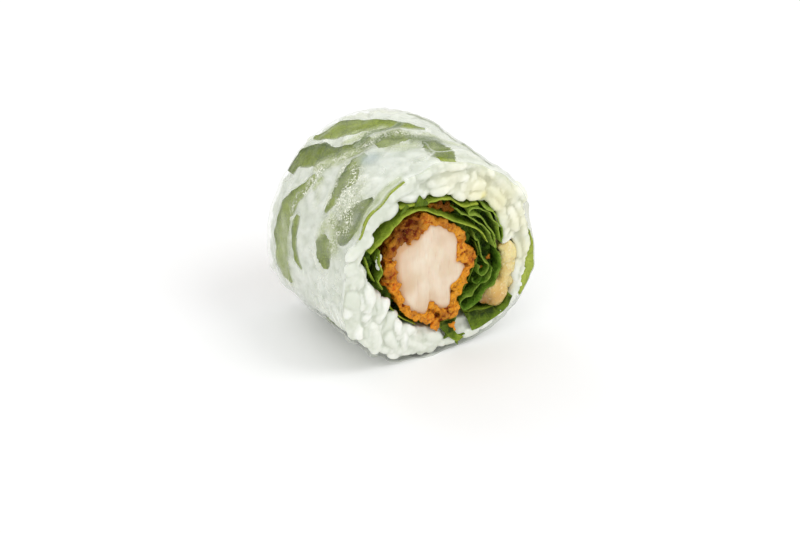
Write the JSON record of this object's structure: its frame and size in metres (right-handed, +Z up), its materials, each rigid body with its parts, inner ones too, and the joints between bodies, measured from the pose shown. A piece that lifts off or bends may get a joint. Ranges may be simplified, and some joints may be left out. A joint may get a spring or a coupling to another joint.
{
  "type": "chicken fresh spring roll piece",
  "caption": "Cut piece of fresh spring roll lying on its side: see-through rice paper and herb leaves round rice, folded lettuce, dressing and breaded chicken.",
  "frame": {"origin": "on the face the roll rests on, under the middle of its box", "axes": "+Z up, Y along the roll with the shown cut at -Y, X across the cut"},
  "size_m": [0.0498, 0.0368, 0.0474],
  "materials": {
    "rice_paper": "moist, see-through",
    "rice": "moist, slightly translucent",
    "chicken": "dry crumb crust round pale meat",
    "dressing": "glossy",
    "herb_leaf": "satin leaf",
    "lettuce": "satin leaf"
  },
  "bodies": {
    "root": {"rice_paper": "rice_paper", "rice": "rice", "breaded_chicken": "chicken", "dressing": "dressing", "leaf_wrap": "herb_leaf", "leaf_top": "herb_leaf", "leaf_left": "herb_leaf", "leaf_blade": "herb_leaf", "leaf_shade": "herb_leaf", "leaf_under": "herb_leaf", "leaf_wedge": "herb_leaf", "leaf_tip": "herb_leaf", "leaf_inside": "herb_leaf", "lettuce_folds": "lettuce", "lettuce_curl": "lettuce", "lettuce_low": "lettuce", "lettuce_mid": "lettuce", "leaf_outer_01": "herb_leaf", "leaf_outer_02": "herb_leaf", "leaf_outer_03": "herb_leaf", "leaf_outer_04": "herb_leaf", "leaf_outer_05": "herb_leaf", "leaf_outer_06": "herb_leaf", "leaf_outer_07": "herb_leaf", "leaf_outer_08": "herb_leaf", "leaf_outer_09": "herb_leaf", "leaf_outer_10": "herb_leaf", "leaf_outer_11": "herb_leaf", "leaf_outer_12": "herb_leaf", "leaf_outer_13": "herb_leaf", "leaf_outer_14": "herb_leaf", "leaf_outer_15": "herb_leaf"}
  },
  "joints": []
}
